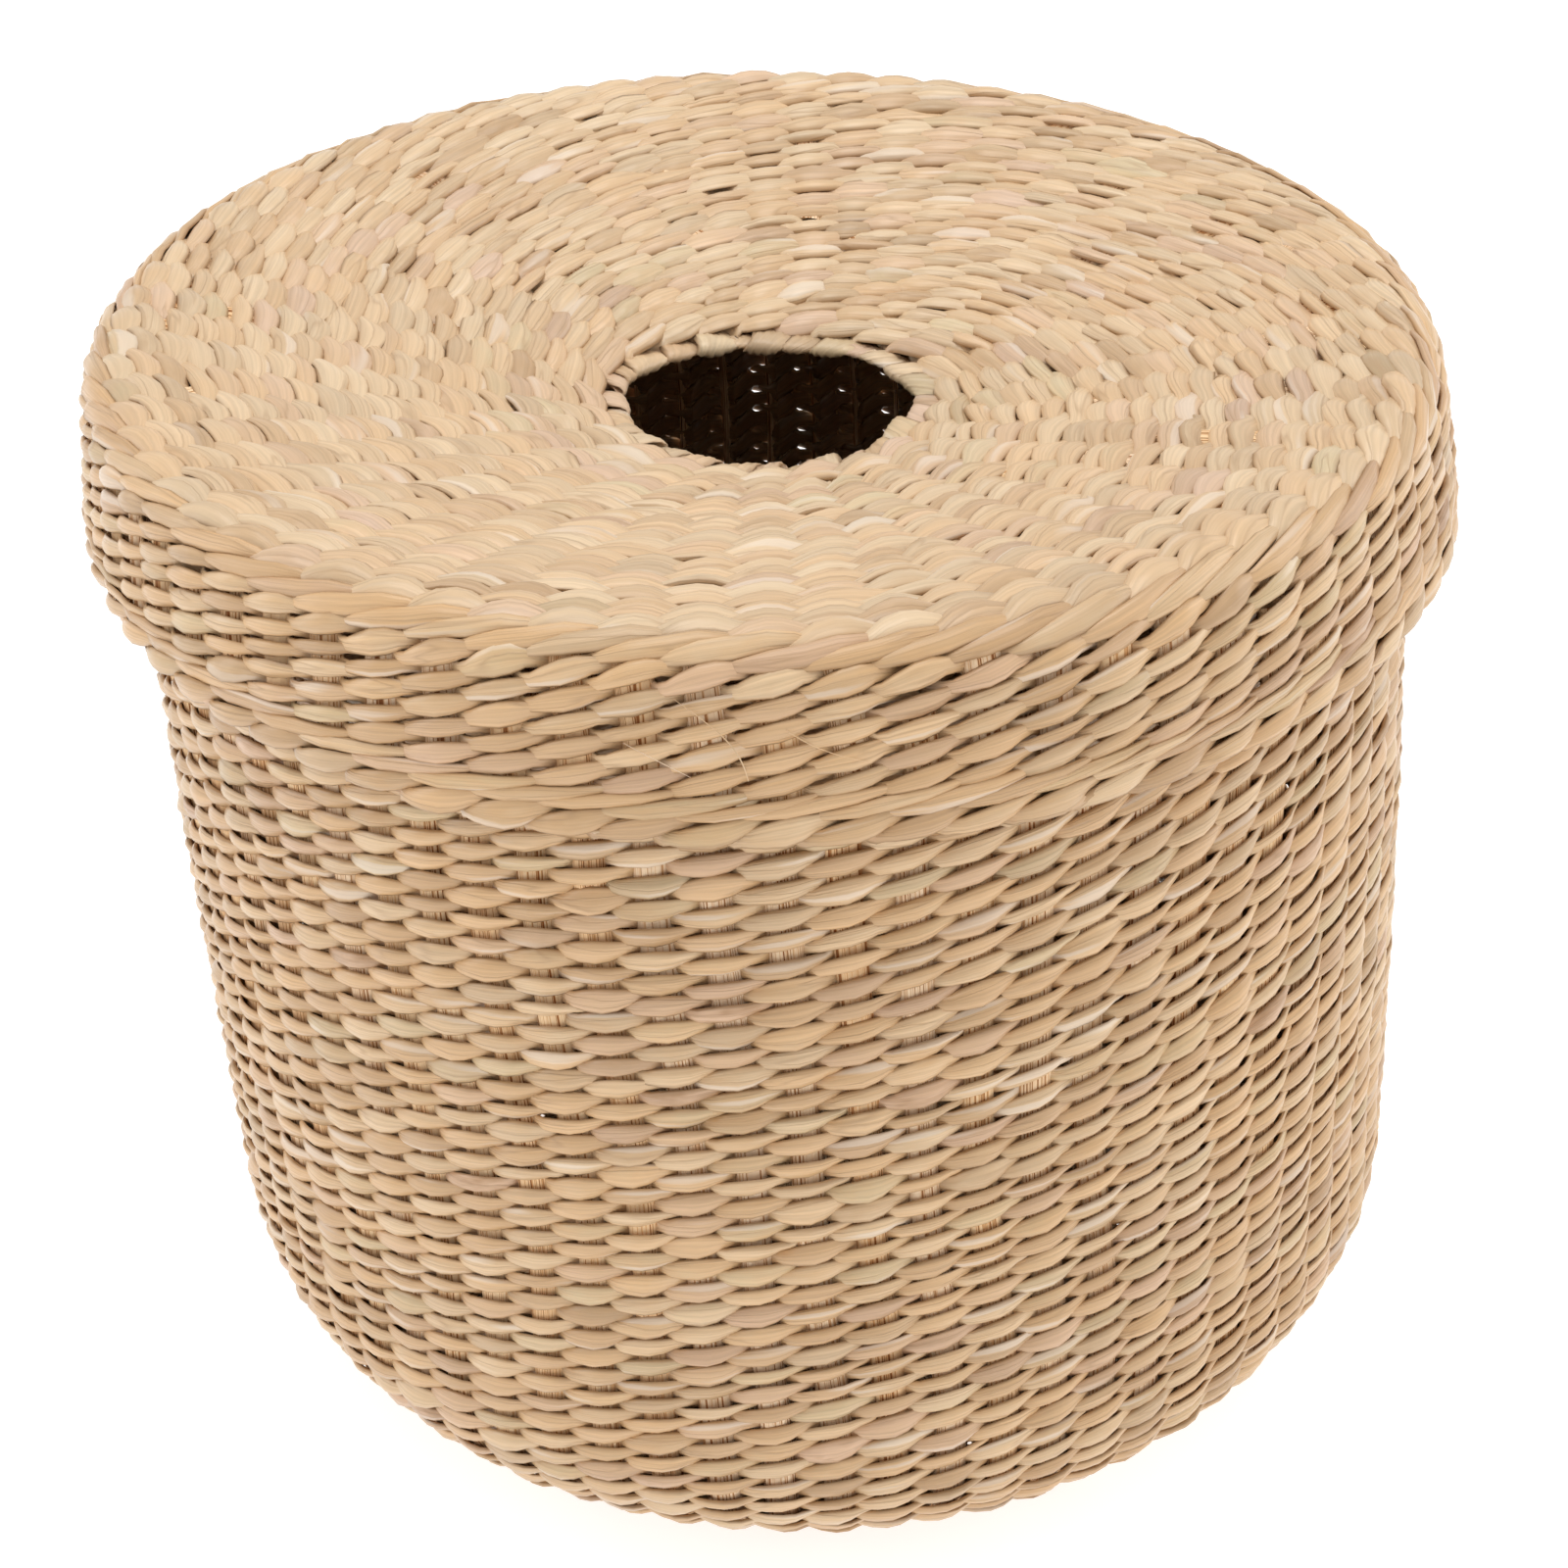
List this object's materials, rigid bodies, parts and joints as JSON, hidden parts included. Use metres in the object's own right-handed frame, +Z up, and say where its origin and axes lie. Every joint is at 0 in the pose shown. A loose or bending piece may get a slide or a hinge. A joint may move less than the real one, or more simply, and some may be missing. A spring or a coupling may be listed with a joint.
{
  "type": "lidded seagrass storage basket",
  "caption": "Round twined seagrass basket with a barrel side and a lift-off lid whose dished top has a round opening in the middle.",
  "frame": {"origin": "centre of the base, on the plane the basket stands on", "axes": "+Z up along the basket's axis of revolution, towards the lid; +X and +Y are equal round the basket"},
  "size_m": [0.2606, 0.2606, 0.2179],
  "materials": {
    "strand": "dried seagrass, satin",
    "inner_strand": "dried seagrass, satin",
    "edge_strand": "dried seagrass, satin",
    "stake": "dried seagrass, ribbed, matt"
  },
  "bodies": {
    "basket": {"base_cross_lower": "stake", "base_cross_upper": "stake", "base_rounds_1": "strand", "base_rounds_2": "strand", "base_rounds_3": "strand", "base_weft_inside": "inner_strand", "foot_wale": "edge_strand", "heel_weft_inside": "inner_strand", "side_weft_inside": "inner_strand", "rim_border": "edge_strand", "body_stakes_1": "stake", "body_stakes_2": "stake", "body_stakes_3": "stake", "body_stakes_4": "stake", "body_stakes_5": "stake", "side_rounds_01": "strand", "side_rounds_02": "strand", "side_rounds_03": "strand", "side_rounds_04": "strand", "side_rounds_05": "strand", "side_rounds_06": "strand", "side_rounds_07": "strand", "side_rounds_08": "strand", "side_rounds_09": "strand", "side_rounds_10": "strand", "side_rounds_11": "strand", "side_rounds_12": "strand", "side_rounds_13": "strand", "side_rounds_14": "strand", "side_rounds_15": "strand"},
    "lid": {"opening_border": "edge_strand", "lid_top_rounds_1": "strand", "lid_top_rounds_2": "strand", "lid_top_rounds_3": "strand", "lid_top_rounds_4": "strand", "lid_top_rounds_5": "strand", "lid_top_weft_under": "inner_strand", "shoulder_wale": "edge_strand", "lid_skirt_rounds_1": "strand", "lid_skirt_rounds_2": "strand", "lid_skirt_weft_inside": "inner_strand", "skirt_wale": "edge_strand", "skirt_border": "edge_strand", "lid_stakes_1": "stake", "lid_stakes_2": "stake", "lid_stakes_3": "stake", "lid_stakes_4": "stake", "lid_stakes_5": "stake"}
  },
  "joints": [
    {"name": "lid_lift", "type": "slide", "parent": "basket", "child": "lid", "axis": [0, 0, 1], "range_m": [0, 0.12]}
  ]
}
